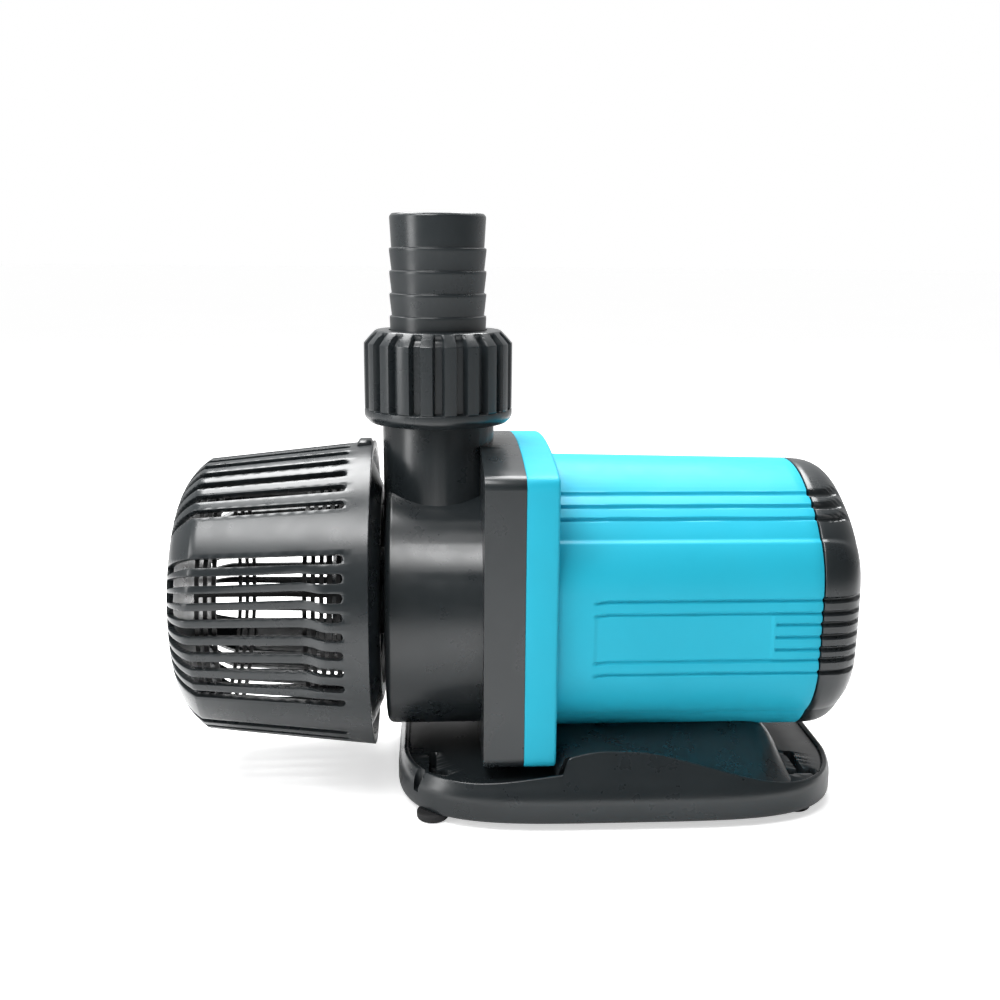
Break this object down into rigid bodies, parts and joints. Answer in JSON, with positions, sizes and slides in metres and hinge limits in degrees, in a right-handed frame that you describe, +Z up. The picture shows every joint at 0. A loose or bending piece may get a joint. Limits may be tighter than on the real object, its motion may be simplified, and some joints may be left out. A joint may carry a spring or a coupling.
{
  "type": "circulation pump",
  "caption": "Centrifugal pond and aquarium pump: slotted strainer cage, top outlet with union nut and hose tail, ribbed motor housing and footed base.",
  "frame": {"origin": "centre of the bounding box's footprint, on the surface that the feet stand on", "axes": "+X along the pump axis from the strainer to the rear cap, +Z up the outlet"},
  "size_m": [0.2786, 0.1406, 0.2386],
  "materials": {
    "charcoal": "satin moulded ABS, charcoal",
    "charcoal_screen": "fine moulded bars, near black",
    "blue_housing": "satin moulded ABS, cyan blue",
    "rubber": "black rubber",
    "gland_plastic": "black nylon",
    "can_plastic": "black engineering plastic",
    "impeller_plastic": "off-white engineering plastic",
    "magnet": "dark ferrite",
    "steel": "stainless steel",
    "bush": "carbon-filled plastic",
    "ceramic": "polished white ceramic",
    "lamination": "stacked electrical steel",
    "copper": "enamelled copper",
    "bobbin": "moulded nylon",
    "board": "green circuit board",
    "component": "black component cases"
  },
  "bodies": {
    "pump": {"volute_housing": "charcoal", "outlet_seal": "rubber", "motor_housing": "blue_housing", "rear_cap": "charcoal", "cap_gasket": "rubber", "cable_gland": "gland_plastic", "gland_nut": "gland_plastic", "rotor_can": "can_plastic", "chamber_seal": "rubber", "ceramic_shaft": "ceramic", "front_shaft_seat": "rubber", "rear_shaft_seat": "rubber", "front_thrust_washer": "ceramic", "rear_thrust_washer": "ceramic", "stator_core": "lamination", "stator_coils": "copper", "coil_bobbins": "bobbin", "driver_board": "board", "board_components": "component", "base_plate": "charcoal", "rubber_feet": "rubber", "flange_screws": "steel", "cap_screws": "steel", "base_screws": "steel"},
    "strainer_back": {"strainer_back_plate": "charcoal", "inner_screen": "charcoal_screen"},
    "strainer_front": {"strainer_cage": "charcoal"},
    "hose_connector": {"hose_tail": "charcoal"},
    "nut": {"union_nut": "charcoal"},
    "rotor": {"impeller": "impeller_plastic", "rotor_magnet": "magnet", "magnet_sleeve": "steel", "front_bush": "bush", "rear_bush": "bush"}
  },
  "joints": [
    {"name": "rotor_spin", "type": "hinge", "parent": "pump", "child": "rotor", "pos_m": [-0.03065, 0, 0.0793], "axis": [1, 0, 0], "continuous": true},
    {"name": "strainer_pull", "type": "slide", "parent": "pump", "child": "strainer_back", "axis": [-1, 0, 0], "range_m": [0, 0.03]},
    {"name": "cage_twist", "type": "hinge", "parent": "strainer_back", "child": "strainer_front", "pos_m": [-0.05775, 0, 0.0793], "axis": [-1, 0, 0], "range_deg": [0, 12]},
    {"name": "union_lift", "type": "slide", "parent": "pump", "child": "hose_connector", "axis": [0, 0, 1], "range_m": [0, 0.01395]},
    {"name": "union_nut_turn", "type": "hinge", "parent": "hose_connector", "child": "nut", "pos_m": [-0.03065, 0, 0.1537], "axis": [0, 0, 1], "range_deg": [0, 2160]}
  ],
  "couplings": [
    {"joint": "union_lift", "follows": "union_nut_turn", "m_per_rad": 0.00036749}
  ]
}
